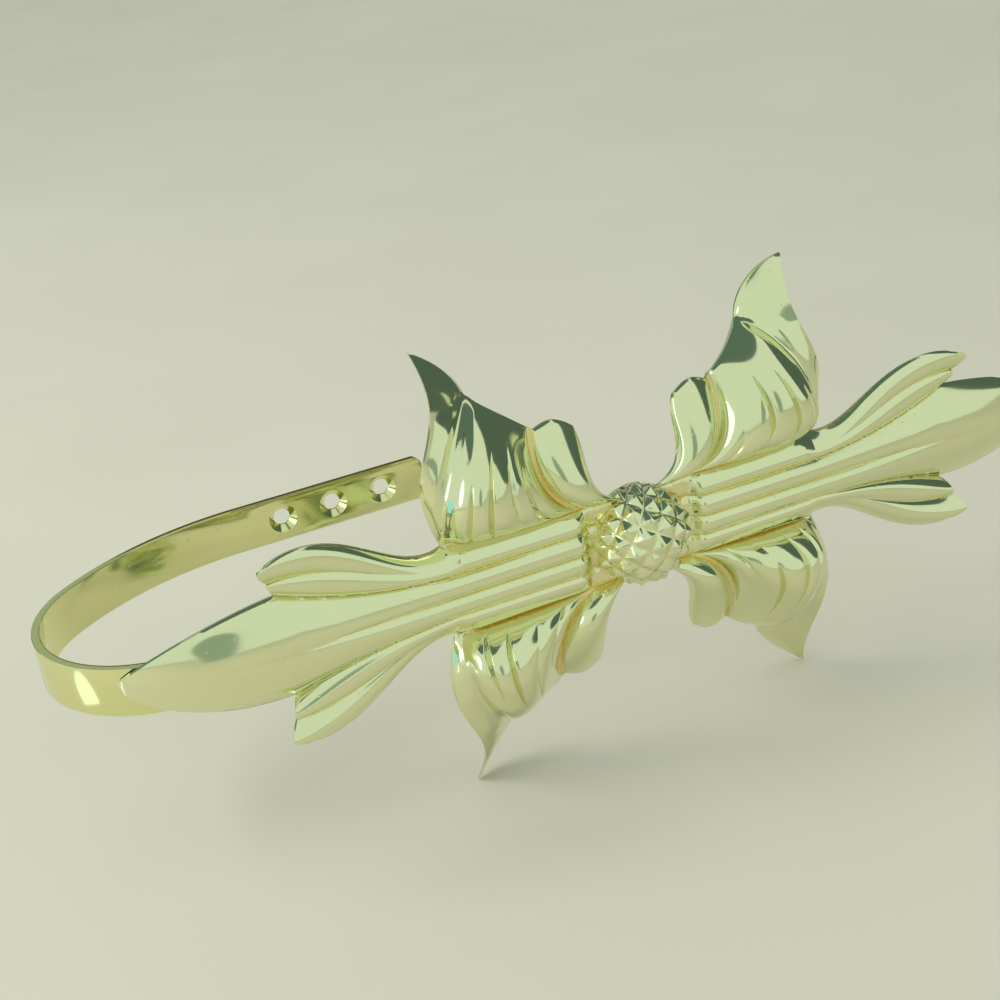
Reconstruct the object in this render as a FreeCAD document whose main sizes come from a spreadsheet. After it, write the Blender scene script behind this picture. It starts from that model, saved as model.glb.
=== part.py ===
"""Curtain holdback: a flat brass strap bent to a hook, with a pressed leaf plate in front.

X runs along the strap, +Y points at the wall and Z is up.  The origin is the centre of
the middle screw hole, on the face that lies against the wall.  The plate is worked out
in its own frame, with its centre behind the boss, and placed at the end.
"""
import FreeCAD, Part
import math
import os
import Sketcher
from FreeCAD import Placement, Rotation, Vector

os.makedirs("parts", exist_ok=True)
doc = FreeCAD.newDocument("curtain_holdback")

# Driving sizes, in millimetres
SIZES = [
    ("strap_width", 12.0), ("strap_thick", 2.0), ("strap_depth", 68.5),
    ("sweep_rise", 10.5), ("bend_to_hole", 55.0), ("leg_start_to_hole", 26.2),
    ("hole_pitch", 14.0), ("screw_hole_dia", 4.4), ("screw_sink_dia", 7.6),
    ("end_margin", 12.0), ("front_end_inset", 16.5), ("corner_radius", 2.5),
    ("plate_to_hole", 54.5), ("plate_stand_off", 1.4), ("plate_lift", 2.0),
    ("sheet_thick", 1.0), ("plate_half_length", 124.5), ("tip_clearance", 0.4),
    ("leaf_height", 56.0), ("leaf_width", 53.0), ("leaf_belly", 7.5),
    ("flute_depth", 0.9), ("lobe_belly", 4.0),
    ("stem_half_width", 10.5), ("reed_height", 1.6),
    ("spray_half_height", 21.7), ("end_leaf_half_width", 12.6),
    ("boss_radius", 12.9), ("boss_skirt", 3.0), ("boss_wall", 1.5),
    ("cell_pitch", 5.2), ("cell_depth", 1.1), ("seat_wall", 3.9),
    ("stud_dia", 4.0), ("stud_shoulder_dia", 7.5), ("stud_fit", 0.1),
    ("rivet_head_dia", 7.0), ("rivet_head_high", 1.4),
]
sheet = doc.addObject("Spreadsheet::Sheet", "sizes")
for row, (name, value) in enumerate(SIZES, start=1):
    sheet.set("A%d" % row, name)
    sheet.set("B%d" % row, str(value))
    sheet.setAlias("B%d" % row, name)
doc.recompute()


def size(name):
    """A driving size, as a plain number."""
    return float(sheet.get(name))


def plane_of(body, role):
    """The body's own origin plane with this role."""
    for feature in body.Origin.OriginFeatures:
        if feature.Role == role:
            return feature
    raise RuntimeError("no plane " + role)


def sketch_on(body, role, name):
    sketch = body.newObject("Sketcher::SketchObject", name)
    sketch.AttachmentSupport = [(plane_of(body, role), "")]
    sketch.MapMode = "FlatFace"
    return sketch


def bind(sketch, constraint, expression):
    """Add a constraint and tie its value to the sheet."""
    index = sketch.addConstraint(constraint)
    sketch.setExpression("Constraints[%d]" % index, expression)
    return index


# The strap: one flat bar, bent on edge round a front bend and a wider sweep to the wall leg,
# which stands off the front leg by twice the front bend's radius and the sweep's own rise
strap = doc.addObject("PartDesign::Body", "strap")
strap.Label = "strap"
path = sketch_on(strap, "XY_Plane", "strap_path")
half_thick = size("strap_thick") / 2
bend_radius = (size("strap_depth") - size("sweep_rise")) / 2
path_radius = bend_radius - half_thick
front_y = half_thick - size("strap_depth")
bend_x = -size("bend_to_hole")
bend_centre = Vector(bend_x, front_y + path_radius, 0)
leg_start_x = -size("leg_start_to_hole")
run = leg_start_x - bend_centre.x
drop = -half_thick - bend_centre.y
sweep_radius = (run ** 2 + drop ** 2 - path_radius ** 2) / (2 * (drop - path_radius))
turn = math.asin(run / (sweep_radius - path_radius))
sweep_centre = Vector(leg_start_x, -half_thick - sweep_radius, 0)
wall_end_x = size("hole_pitch") + size("end_margin")
WALL_AXIS = Vector(0, 0, 1)
front_end_x = size("plate_to_hole") + size("plate_half_length") - size("front_end_inset")
FRONT_END = "sizes.plate_to_hole + sizes.plate_half_length - sizes.front_end_inset"
front_leg = path.addGeometry(Part.LineSegment(
    Vector(front_end_x, front_y, 0), Vector(bend_x, front_y, 0)))
front_bend = path.addGeometry(Part.ArcOfCircle(
    Part.Circle(bend_centre, WALL_AXIS, path_radius), math.pi / 2 + turn, 3 * math.pi / 2))
wide_sweep = path.addGeometry(Part.ArcOfCircle(
    Part.Circle(sweep_centre, WALL_AXIS, sweep_radius), math.pi / 2, math.pi / 2 + turn))
wall_leg = path.addGeometry(Part.LineSegment(
    Vector(sweep_centre.x, -half_thick, 0), Vector(wall_end_x, -half_thick, 0)))
START, END, CENTRE = 1, 2, 3
path.addConstraint(Sketcher.Constraint("Horizontal", front_leg))
path.addConstraint(Sketcher.Constraint("Horizontal", wall_leg))
path.addConstraint(Sketcher.Constraint("Tangent", front_leg, END, front_bend, END))
path.addConstraint(Sketcher.Constraint("Tangent", front_bend, START, wide_sweep, END))
path.addConstraint(Sketcher.Constraint("Tangent", wide_sweep, START, wall_leg, START))
bind(path, Sketcher.Constraint("Radius", front_bend, path_radius),
     "(sizes.strap_depth - sizes.sweep_rise - sizes.strap_thick) / 2")
bind(path, Sketcher.Constraint("DistanceX", -1, 1, front_leg, START, front_end_x), FRONT_END)
bind(path, Sketcher.Constraint("DistanceY", -1, 1, front_leg, START, front_y),
     "sizes.strap_thick / 2 - sizes.strap_depth")
bind(path, Sketcher.Constraint("DistanceX", -1, 1, front_bend, CENTRE, bend_x),
     "-sizes.bend_to_hole")
bind(path, Sketcher.Constraint("DistanceX", -1, 1, wall_leg, START, leg_start_x),
     "-sizes.leg_start_to_hole")
bind(path, Sketcher.Constraint("DistanceY", -1, 1, wall_leg, END, -half_thick),
     "-sizes.strap_thick / 2")
bind(path, Sketcher.Constraint("DistanceX", -1, 1, wall_leg, END, wall_end_x),
     "sizes.hole_pitch + sizes.end_margin")
doc.recompute()

# The bar's section, at the free end of the front leg
section = sketch_on(strap, "YZ_Plane", "strap_section")
section.setExpression("AttachmentOffset.Base.z", FRONT_END)
half_width = size("strap_width") / 2
corners = [(front_y - half_thick, -half_width), (front_y + half_thick, -half_width),
           (front_y + half_thick, half_width), (front_y - half_thick, half_width)]
for here, there in zip(corners, corners[1:] + corners[:1]):
    section.addGeometry(Part.LineSegment(Vector(*here, 0), Vector(*there, 0)))
for side in range(4):
    section.addConstraint(Sketcher.Constraint("Coincident", side, END, (side + 1) % 4, START))
for side in (0, 2):
    section.addConstraint(Sketcher.Constraint("Horizontal", side))
    section.addConstraint(Sketcher.Constraint("Vertical", side + 1))
bind(section, Sketcher.Constraint("DistanceX", -1, 1, 0, START, corners[0][0]),
     "-sizes.strap_depth")
bind(section, Sketcher.Constraint("DistanceX", 0, START, 0, END, 2 * half_thick),
     "sizes.strap_thick")
bind(section, Sketcher.Constraint("DistanceY", -1, 1, 0, START, -half_width),
     "-sizes.strap_width / 2")
bind(section, Sketcher.Constraint("DistanceY", 1, START, 1, END, 2 * half_width),
     "sizes.strap_width")
bar = strap.newObject("PartDesign::AdditivePipe", "strap_bar")
bar.Profile = section
bar.Spine = path
doc.recompute()
bar_length = (front_end_x - bend_x + path_radius * (math.pi - turn)
              + sweep_radius * turn + wall_end_x - sweep_centre.x)
expected = bar_length * size("strap_width") * size("strap_thick")
if abs(bar.Shape.Volume - expected) > 0.001 * expected:
    raise RuntimeError("the bar's volume isn't its section times its length")

# Three countersunk screw holes, their heads sunk into the leg's inner face
holes = sketch_on(strap, "XZ_Plane", "screw_holes")
holes.setExpression("AttachmentOffset.Base.z", "sizes.strap_thick")
for number, shift in enumerate((-1, 0, 1)):
    x = shift * size("hole_pitch")
    circle = holes.addGeometry(Part.Circle(Vector(x, 0, 0), WALL_AXIS, size("screw_hole_dia") / 2))
    bind(holes, Sketcher.Constraint("Radius", circle, size("screw_hole_dia") / 2),
         "sizes.screw_hole_dia / 2")
    holes.addConstraint(Sketcher.Constraint("PointOnObject", circle, CENTRE, -1))
    if shift:
        bind(holes, Sketcher.Constraint("DistanceX", -1, 1, circle, CENTRE, x),
             "%d * sizes.hole_pitch" % shift)
    else:
        holes.addConstraint(Sketcher.Constraint("PointOnObject", circle, CENTRE, -2))
doc.recompute()
screw_holes = strap.newObject("PartDesign::Hole", "screw_sinks")
screw_holes.Profile = holes
screw_holes.DepthType = "ThroughAll"
screw_holes.Threaded = False
screw_holes.ThreadType = "None"
screw_holes.HoleCutType = "Countersink"
screw_holes.HoleCutCustomValues = True
screw_holes.HoleCutCountersinkAngle = 90
screw_holes.setExpression("Diameter", "sizes.screw_hole_dia")
screw_holes.setExpression("HoleCutDiameter", "sizes.screw_sink_dia")
doc.recompute()

# The hole in the front leg that the plate's stud is riveted through
stud_seat = sketch_on(strap, "XZ_Plane", "stud_hole_circle")
stud_x = size("plate_to_hole")
stud_circle = stud_seat.addGeometry(Part.Circle(
    Vector(stud_x, size("plate_lift"), 0), WALL_AXIS, size("stud_dia") / 2 + size("stud_fit")))
stud_seat.setExpression("AttachmentOffset.Base.z", "sizes.strap_depth - sizes.strap_thick")
bind(stud_seat, Sketcher.Constraint("Radius", stud_circle, size("stud_dia") / 2 + size("stud_fit")),
     "sizes.stud_dia / 2 + sizes.stud_fit")
bind(stud_seat, Sketcher.Constraint("DistanceX", -1, 1, stud_circle, CENTRE, stud_x),
     "sizes.plate_to_hole")
bind(stud_seat, Sketcher.Constraint("DistanceY", -1, 1, stud_circle, CENTRE, size("plate_lift")),
     "sizes.plate_lift")
stud_hole = strap.newObject("PartDesign::Pocket", "stud_hole")
stud_hole.Profile = stud_seat
stud_hole.setExpression("Length", "sizes.strap_thick")
stud_hole.Reversed = True
doc.recompute()
if stud_hole.Shape.Volume >= screw_holes.Shape.Volume:
    raise RuntimeError("the stud hole cuts nothing")

# The bar's free corners are rounded off
free_corners = []
for index, edge in enumerate(stud_hole.Shape.Edges, start=1):
    box = edge.BoundBox
    along_y = box.YLength > 0.9 * size("strap_thick") and box.XLength + box.ZLength < 0.01
    at_free_end = abs(box.XMin - wall_end_x) < 0.01 or abs(box.XMin - front_end_x) < 0.01
    if along_y and at_free_end:
        free_corners.append("Edge%d" % index)
rounded = strap.newObject("PartDesign::Fillet", "free_corners")
rounded.Base = (stud_hole, free_corners)
rounded.setExpression("Radius", "sizes.corner_radius")
doc.recompute()


# The leaf plate, in its own frame: x from the boss centre, y back to the strap, z up.
# One leaf and half a spray are drawn; the other three quarters are mirrored from them.
# The drawn points suit these sizes, and are carried to the sheet's own.
DRAWN_LENGTH, DRAWN_WIDTH, DRAWN_HEIGHT, DRAWN_STEM = 124.5, 53.0, 56.0, 10.5
DRAWN_SPRAY, DRAWN_END_LEAF, DRAWN_CROTCH = 21.7, 12.6, 48.8
half_length = size("plate_half_length")
stem_edge = size("stem_half_width")
reed_line = stem_edge / 2
LEFT_RIGHT, UP_DOWN = Vector(1, 0, 0), Vector(0, 0, 1)
BACKWARD = Vector(0, 1, 0)


def leaf_point(x, y, z):
    """A drawn point of a side leaf, carried to the leaf's width and height."""
    rise = (size("leaf_height") - stem_edge) / (DRAWN_HEIGHT - DRAWN_STEM)
    return Vector(x * size("leaf_width") / DRAWN_WIDTH, y, stem_edge + (z - DRAWN_STEM) * rise)


def spray_point(x, y, z, drawn_width, width):
    """A drawn point beyond the leaf's crotch, carried to the plate's length and a width."""
    crotch = RIM[0].x
    stretch = (half_length - crotch) / (DRAWN_LENGTH - DRAWN_CROTCH)
    return Vector(crotch + (x - DRAWN_CROTCH) * stretch, y, z * width / drawn_width)


def bezier(points, t):
    """The point at t on the Bezier curve of these control points."""
    points = list(points)
    while len(points) > 1:
        points = [a * (1 - t) + b * t for a, b in zip(points, points[1:])]
    return points[0]


def arch(t, lean=1.0, fullness=1.0):
    """From 0 up to 1 and back to 0; a lean under 1 moves the top towards the start."""
    return max(math.sin(math.pi * t ** lean), 0.0) ** fullness


# The side leaf's lines, root to edge: the groove beside its lobe, the crease where its body
# turns up into the flange, and the free rim from the crotch to the tip
GROOVE = [leaf_point(12.8, -2.0, 10.6), leaf_point(19.4, -3.6, 12.8),
          leaf_point(26.0, -2.6, 21.4), leaf_point(22.5, 0.5, 32.2)]
CREASE = [leaf_point(45.9, -1.2, 11.6), leaf_point(54.7, -10.7, 17.6),
          leaf_point(40.1, -4.5, 40.9), leaf_point(35.4, 7.0, 42.6)]
RIM = [leaf_point(48.8, 0.0, 11.3), leaf_point(58.9, -3.5, 35.6),
       leaf_point(41.3, -5.4, 36.1), leaf_point(47.4, 4.7, 56.0)]
TIP_INNER = [CREASE[-1], leaf_point(36.5, 8.5, 48.0),
             leaf_point(42.0, 9.5, 52.5), leaf_point(46.2, 5.4, 55.4)]
stem_start = Vector(0.31 * size("boss_radius"), -2.4, stem_edge - 0.4)
LOBE_EDGE = [stem_start, leaf_point(15.5, -6.5, 15.5),
             leaf_point(10.0, -1.0, 24.0), leaf_point(13.2, -0.3, 31.0)]
RIM_SPLIT = 0.7


def spaced(count):
    """Even steps from 0 to 1."""
    return [k / count for k in range(count + 1)]


# Where the ribs lie across each part of the plate, from one border at 0 to the other at 1
FLUTE_EDGES = [0.0, 0.27, 0.5, 0.7, 0.86]
STRIPS_PER_FLUTE = 2
BODY_RIBS = [start + (end - start) * v for start, end in zip(FLUTE_EDGES, FLUTE_EDGES[1:])
             for v in spaced(STRIPS_PER_FLUTE)[:-1]] + [FLUTE_EDGES[-1], 0.94, 1.0]
FLANGE_RIBS, LOBE_RIBS, REED_RIBS, LEAFLET_RIBS = spaced(3), spaced(3), spaced(3), spaced(4)
RIB_STEPS = 10


def leaf_body(s, t):
    """The leaf's swelling body: s from the groove to the crease, t from root to edge."""
    point = bezier(GROOVE, t) * (1 - s) + bezier(CREASE, t) * s
    crown = s ** 1.1 * (1 - s) ** 0.55 / 0.38
    lip = 1.8 * arch(s) * t * t
    point.y -= size("leaf_belly") * crown * arch(t, 0.85, 0.8) + lip
    return point


def raised(surface, s, t, height):
    """The surface's point, moved off it towards the viewer by this height."""
    step = 0.01
    across = surface(min(s + step, 1.0), t) - surface(max(s - step, 0.0), t)
    along = surface(s, min(t + step, 1.0)) - surface(s, max(t - step, 0.0))
    normal = across.cross(along)
    if normal.Length == 0 or height == 0:
        return surface(s, t)
    normal.normalize()
    if normal.y > 0:
        normal = -normal
    return surface(s, t) + normal * height


def fluted(s, t):
    """The body with its rounded flutes; the valleys between them lie on the body itself."""
    crest = 0.0
    for start, end in zip(FLUTE_EDGES, FLUTE_EDGES[1:]):
        if start < s < end:
            crest = size("flute_depth") * arch((s - start) / (end - start)) * arch(t, 1.0, 0.6)
    return raised(leaf_body, s, t, crest)


def flange(v, t):
    point = bezier(CREASE, t) * (1 - v) + bezier(RIM, RIM_SPLIT * t) * v
    point.y -= 0.8 * arch(v) * math.sin(math.pi * t / 2)
    return point


def leaf_tip(v, t):
    point = bezier(TIP_INNER, t) * (1 - v) + bezier(RIM, RIM_SPLIT + (1 - RIM_SPLIT) * t) * v
    point.y -= 0.8 * arch(v) * math.cos(math.pi * t / 2)
    return point


def lobe(v, t):
    """The small rounded lobe between the boss and the leaf's body."""
    point = bezier(GROOVE, t) * (1 - v) + bezier(LOBE_EDGE, t) * v
    point.y -= size("lobe_belly") * arch(v) * arch(t, 0.9, 0.8)
    point.z += 1.8 * arch(v) * t ** 3
    return point


def rib(surface, place):
    """The cubic curve that runs nearest the surface's line at this place across it."""
    start, end = surface(place, 0.0), surface(place, 1.0)
    steps = spaced(RIB_STEPS)[1:-1]
    first = [3 * t * (1 - t) ** 2 for t in steps]
    second = [3 * t ** 2 * (1 - t) for t in steps]
    rests = [surface(place, t) - start * (1 - t) ** 3 - end * t ** 3 for t in steps]
    first_rest, second_rest = Vector(), Vector()
    for one, two, rest in zip(first, second, rests):
        first_rest += rest * one
        second_rest += rest * two
    one_one = sum(one * one for one in first)
    two_two = sum(two * two for two in second)
    one_two = sum(one * two for one, two in zip(first, second))
    whole = one_one * two_two - one_two ** 2
    curve = Part.BezierCurve()
    curve.setPoles([start, (first_rest * two_two - second_rest * one_two) / whole,
                    (second_rest * one_one - first_rest * one_two) / whole, end])
    return curve.toShape()


def strips(surface, places):
    """Faces ruled from each of the surface's ribs to the next."""
    ribs = [rib(surface, place) for place in places]
    return [Part.makeRuledSurface(here, there) for here, there in zip(ribs, ribs[1:])]


def polygon(*corners):
    return Part.Face(Part.makePolygon([*corners, corners[0]]))


# The stem's lines: its middle groove, the line between its two reeds, and its outer edge.
# Past the crotch the outer reed runs out into a leaflet and the inner one into the end leaf,
# whose tip curls back until it all but rests on the strap's outer face.
MIDDLE_Y, REED_Y = -4.4, -3.8
tip_reach = half_length - size("plate_to_hole") - size("bend_to_hole")
tip_reach = min(max(tip_reach, 0.0), 0.9 * bend_radius)
strap_drop = bend_radius - math.sqrt(bend_radius ** 2 - tip_reach ** 2)
tip_y = size("plate_stand_off") + strap_drop - size("sheet_thick") - size("tip_clearance")


def end_point(x, y, z):
    return spray_point(x, y, z, DRAWN_END_LEAF, size("end_leaf_half_width"))


def leaflet_point(x, y, z):
    return spray_point(x, y, z, DRAWN_SPRAY, size("spray_half_height"))


MIDDLE = [Vector(RIM[0].x, MIDDLE_Y, 0), end_point(60.0, -4.6, 0),
          end_point(72.0, -5.0, 0), end_point(84.5, -5.0, 0)]
REED = [Vector(RIM[0].x, REED_Y, reed_line), end_point(62.0, -3.8, 5.6),
        end_point(76.0, -2.5, 8.0), end_point(88.0, -0.8, 12.6)]
LEAFLET = [RIM[0], leaflet_point(56.5, -1.8, 9.0), leaflet_point(64.0, -1.2, 13.5),
           leaflet_point(70.0, -1.6, 24.0), leaflet_point(84.0, -4.6, 26.0),
           leaflet_point(91.2, -6.0, 21.7)]
END_MIDDLE = [MIDDLE[-1], end_point(102.0, -6.5, 0), end_point(117.0, -3.5, 0),
              end_point(124.5, tip_y, 0)]
END_EDGE = [REED[-1], end_point(104.0, -3.0, 12.2), end_point(119.0, -1.5, 6.5),
            end_point(124.2, tip_y - 0.2, 1.5)]


def reeded(inner, outer, v, share=1.0):
    """Across one reed, from its inner line to its outer line."""
    point = inner * (1 - v) + outer * v
    point.y -= size("reed_height") * share * arch(v)
    return point


def spray_reed(v, t):
    return reeded(bezier(MIDDLE, t), bezier(REED, t), v)


def leaflet(v, t):
    """The outer reed, which parts along its crest into the leaflet's two folds."""
    parting = t * t * (3 - 2 * t)
    point = reeded(bezier(REED, t), bezier(LEAFLET, t), v, 1 - parting)
    point.y -= size("reed_height") * parting * abs(math.sin(2 * math.pi * v))
    return point


def end_leaf(v, t):
    return reeded(bezier(END_MIDDLE, t), bezier(END_EDGE, t), v, (1 - t) ** 1.5)


def stem_section(edge):
    """Across the stem at this point of its edge, up to the outer reed's last rib."""
    middle = Vector(edge.x, MIDDLE_Y, 0)
    between = Vector(edge.x, REED_Y, reed_line)
    return ([reeded(middle, between, v) for v in REED_RIBS]
            + [reeded(between, edge, v) for v in LEAFLET_RIBS[1:-1]])


def stem_faces():
    """The straight stem, ruled from end to end and filled out to the roots of the leaf."""
    inner_end, outer_end = stem_section(stem_start), stem_section(RIM[0])
    lines = [Part.makeLine(start, end) for start, end in zip(inner_end, outer_end)]
    faces = [Part.makeRuledSurface(here, there) for here, there in zip(lines, lines[1:])]
    inner_corner, outer_corner = inner_end[-1], outer_end[-1]
    faces.append(polygon(inner_corner, *[lobe(v, 0) for v in LOBE_RIBS]))
    faces.append(polygon(inner_corner, *[fluted(s, 0) for s in BODY_RIBS]))
    faces.append(polygon(inner_corner, CREASE[0], outer_corner))
    faces.append(polygon(outer_corner, *[flange(v, 0) for v in FLANGE_RIBS]))
    return faces


def quarter_faces():
    return (strips(fluted, BODY_RIBS) + strips(flange, FLANGE_RIBS)
            + strips(leaf_tip, FLANGE_RIBS) + strips(lobe, LOBE_RIBS) + stem_faces()
            + strips(spray_reed, REED_RIBS) + strips(leaflet, LEAFLET_RIBS)
            + strips(end_leaf, REED_RIBS))


def mirrored(shape, axis):
    return shape.mirror(Vector(0, 0, 0), axis)


def solid_of(faces):
    """The solid that these faces close round."""
    skin = Part.makeCompound(faces)
    skin.sewShape(1e-4)
    if len(skin.Shells) != 1 or not skin.Shells[0].isClosed():
        raise RuntimeError("the faces don't close")
    solid = Part.makeSolid(skin.Shells[0])
    if solid.Volume < 0:
        solid.reverse()
    return solid


def thick_sheet(front_faces, thickness):
    """The front faces, the same faces behind them, and walls round the rim."""
    front = Part.makeCompound(front_faces)
    front.sewShape(1e-4)
    step = BACKWARD * thickness
    back = front.copy()
    back.translate(step)
    uses = {}
    for edge in [edge for face in front.Faces for edge in face.Edges]:
        place = tuple(round(value, 3) for value in [*edge.CenterOfMass, edge.Length])
        uses.setdefault(place, []).append(edge)
    rim = [found[0] for found in uses.values() if len(found) == 1]
    rim_walls = [Part.makeRuledSurface(edge, edge.translated(step)) for edge in rim]
    return solid_of(front.Faces + back.Faces + rim_walls)


# The boss: a dome on a straight foot, hollow behind, its front a lattice of low pyramids
# between valleys that run round the ball in two crossing sets
ball_centre = Vector(0, size("plate_stand_off") - size("boss_skirt"), 0)
valley_radius = size("boss_radius") - size("cell_depth")
cell_angle = size("cell_pitch") / size("boss_radius")
LATTICE_TURN = math.radians(57)
LATTICE_SHIFT = (0.7, 0.42)
LATTICE_REACH = 0.98
LATTICE_ROWS = range(-5, 5)
row_way = Vector(math.cos(LATTICE_TURN), 0, math.sin(LATTICE_TURN))
column_way = Vector(math.sin(LATTICE_TURN), 0, -math.cos(LATTICE_TURN))


def lattice_spread(row, column):
    """Where a crossing of two valleys lies, seen from the front: 1 away is the ball's rim."""
    half_turn = math.pi / 2
    angles = [max(min((place + shift) * cell_angle, half_turn), -half_turn)
              for place, shift in zip((row, column), LATTICE_SHIFT)]
    return math.sin(angles[0]), math.sin(angles[1])


def lattice_point(across, up, radius):
    """A point on the ball; one that lies past the lattice's foot is drawn in to it."""
    spread = math.hypot(across, up)
    draw_in = min(1.0, LATTICE_REACH / spread)
    across, up, spread = across * draw_in, up * draw_in, spread * draw_in
    way = row_way * across + column_way * up - BACKWARD * math.sqrt(1 - spread ** 2)
    return ball_centre + way * radius


def boss_solid():
    """The lattice's facets, walls straight back from its border, and a flat foot."""
    facets = []
    border = {}
    for row, column in [(i, j) for i in LATTICE_ROWS for j in LATTICE_ROWS]:
        cell = [(row, column), (row + 1, column), (row + 1, column + 1), (row, column + 1)]
        spreads = [lattice_spread(*crossing) for crossing in cell]
        inside = [spread for spread in spreads if math.hypot(*spread) < LATTICE_REACH]
        if not inside:
            continue
        corners = [lattice_point(*spread, valley_radius) for spread in spreads]
        middle = sum(corners, Vector()) / 4 - ball_centre
        middle.normalize()
        sunk = size("cell_depth") * (4 - len(inside)) / 4
        peak = ball_centre + middle * (size("boss_radius") - sunk)
        for k in range(4):
            here, there = cell[k], cell[(k + 1) % 4]
            facets.append(polygon(corners[k], corners[(k + 1) % 4], peak))
            if (there, here) in border:
                del border[(there, here)]
            else:
                border[(here, there)] = (corners[k], corners[(k + 1) % 4])
    foot = {}
    for start, end in border.values():
        start_foot, end_foot = [Vector(point.x, size("plate_stand_off"), point.z)
                                for point in (start, end)]
        facets.append(polygon(start, end, end_foot, start_foot))
        foot[math.atan2(start.z, start.x)] = start_foot
    facets.append(polygon(*[foot[angle] for angle in sorted(foot)]))
    return solid_of(facets)


def boss_hollow():
    """The recess behind the boss: straight, then tapered down to the stud's seat."""
    seat_radius = size("stud_shoulder_dia") / 2 + size("stud_fit")
    seat_y = ball_centre.y - size("boss_radius") + size("seat_wall")
    radius = valley_radius - size("boss_wall")
    mouth_radius = radius - size("boss_wall") / 3
    taper_y = ball_centre.y - math.sqrt(radius ** 2 - mouth_radius ** 2)
    taper = Part.makeCone(seat_radius, mouth_radius, taper_y - seat_y,
                          Vector(0, seat_y, 0), BACKWARD)
    mouth = Part.makeCylinder(mouth_radius, size("plate_stand_off") - taper_y,
                              Vector(0, taper_y, 0), BACKWARD)
    return taper.fuse(mouth)


quarter = quarter_faces()
right_half = thick_sheet(quarter + [mirrored(face, UP_DOWN) for face in quarter],
                         size("sheet_thick"))
whole_plate = boss_solid().fuse([right_half, mirrored(right_half, LEFT_RIGHT)])
whole_plate = whole_plate.cut(boss_hollow())
leaf_plate = doc.addObject("Part::Feature", "leaf_plate")
leaf_plate.Label = "leaf_plate"
leaf_plate.Shape = whole_plate.Solids[0]
leaf_plate.Placement = Placement(
    Vector(size("plate_to_hole"), -size("strap_depth") - size("plate_stand_off"),
           size("plate_lift")), Rotation())

# The stud: turned, its shoulder between the boss and the strap, its end riveted over
stud = doc.addObject("PartDesign::Body", "centre_stud")
stud.Label = "centre_stud"
profile = sketch_on(stud, "XY_Plane", "stud_profile")
seat_in_boss = -size("strap_depth") - size("boss_skirt") - size("boss_radius") + size("seat_wall")
strap_front, strap_back = -size("strap_depth"), size("strap_thick") - size("strap_depth")
radii = [size("stud_shoulder_dia") / 2, size("stud_dia") / 2, size("rivet_head_dia") / 2]
levels = [seat_in_boss, strap_front, strap_back, strap_back + size("rivet_head_high")]
outline = [(0, levels[0]), (radii[0], levels[0]), (radii[0], levels[1]), (radii[1], levels[1]),
           (radii[1], levels[2]), (radii[2], levels[2]), (radii[2], levels[3]), (0, levels[3])]
for here, there in zip(outline, outline[1:] + outline[:1]):
    profile.addGeometry(Part.LineSegment(Vector(*here, 0), Vector(*there, 0)))
for side in range(8):
    profile.addConstraint(Sketcher.Constraint("Coincident", side, END, (side + 1) % 8, START))
for side in (0, 2, 4, 6):
    profile.addConstraint(Sketcher.Constraint("Horizontal", side))
    profile.addConstraint(Sketcher.Constraint("Vertical", side + 1))
profile.addConstraint(Sketcher.Constraint("PointOnObject", 0, START, -2))
SEAT = "-sizes.strap_depth - sizes.boss_skirt - sizes.boss_radius + sizes.seat_wall"
BACK = "sizes.strap_thick - sizes.strap_depth"
for side, level, expression in [(0, levels[0], SEAT), (2, levels[1], "-sizes.strap_depth"),
                                (4, levels[2], BACK),
                                (6, levels[3], BACK + " + sizes.rivet_head_high")]:
    bind(profile, Sketcher.Constraint("DistanceY", -1, 1, side, START, level), expression)
for side, radius, expression in [(0, radii[0], "sizes.stud_shoulder_dia / 2"),
                                 (2, radii[1], "sizes.stud_dia / 2"),
                                 (4, radii[2], "sizes.rivet_head_dia / 2")]:
    bind(profile, Sketcher.Constraint("DistanceX", -1, 1, side, END, radius), expression)
turned = stud.newObject("PartDesign::Revolution", "turned_stud")
turned.Profile = profile
turned.ReferenceAxis = (profile, ["V_Axis"])
turned.Angle = 360
stud.setExpression("Placement.Base.x", "sizes.plate_to_hole")
stud.setExpression("Placement.Base.z", "sizes.plate_lift")
doc.recompute()

for item in doc.Objects:
    if "Invalid" in item.State or "Error" in item.State:
        raise RuntimeError(item.Name + " failed")
for piece in (strap, leaf_plate, stud):
    shape = piece.Shape
    if shape.isNull() or not shape.isValid() or len(shape.Solids) != 1:
        raise RuntimeError(piece.Label + " isn't one valid solid")
    shape.exportStep("parts/%s.step" % piece.Label)
    print(piece.Label, "volume %.0f mm3" % shape.Volume, shape.BoundBox)
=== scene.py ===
# %% [markdown]
# # A brass curtain holdback, built in cells
#
# The real object is a flat brass bar, bent on the flat into a hook, with a pressed leaf
# ornament in front of it.  A gathered curtain hangs in the hook, behind the ornament.  The
# packed construction model gives every place and size, so each piece here is drawn in the
# same frame and only adds what a solid modeller leaves out: slits between the broad
# folds, soft gutters and pleats, fine wear, rough grain in the hollows, and a deeper gold
# painted into the hollows, a painted reflection of the warm light that bounces in them.

# %% Load the imported frame
import math

import bmesh
import bpy
from mathutils import Matrix, Vector


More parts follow.
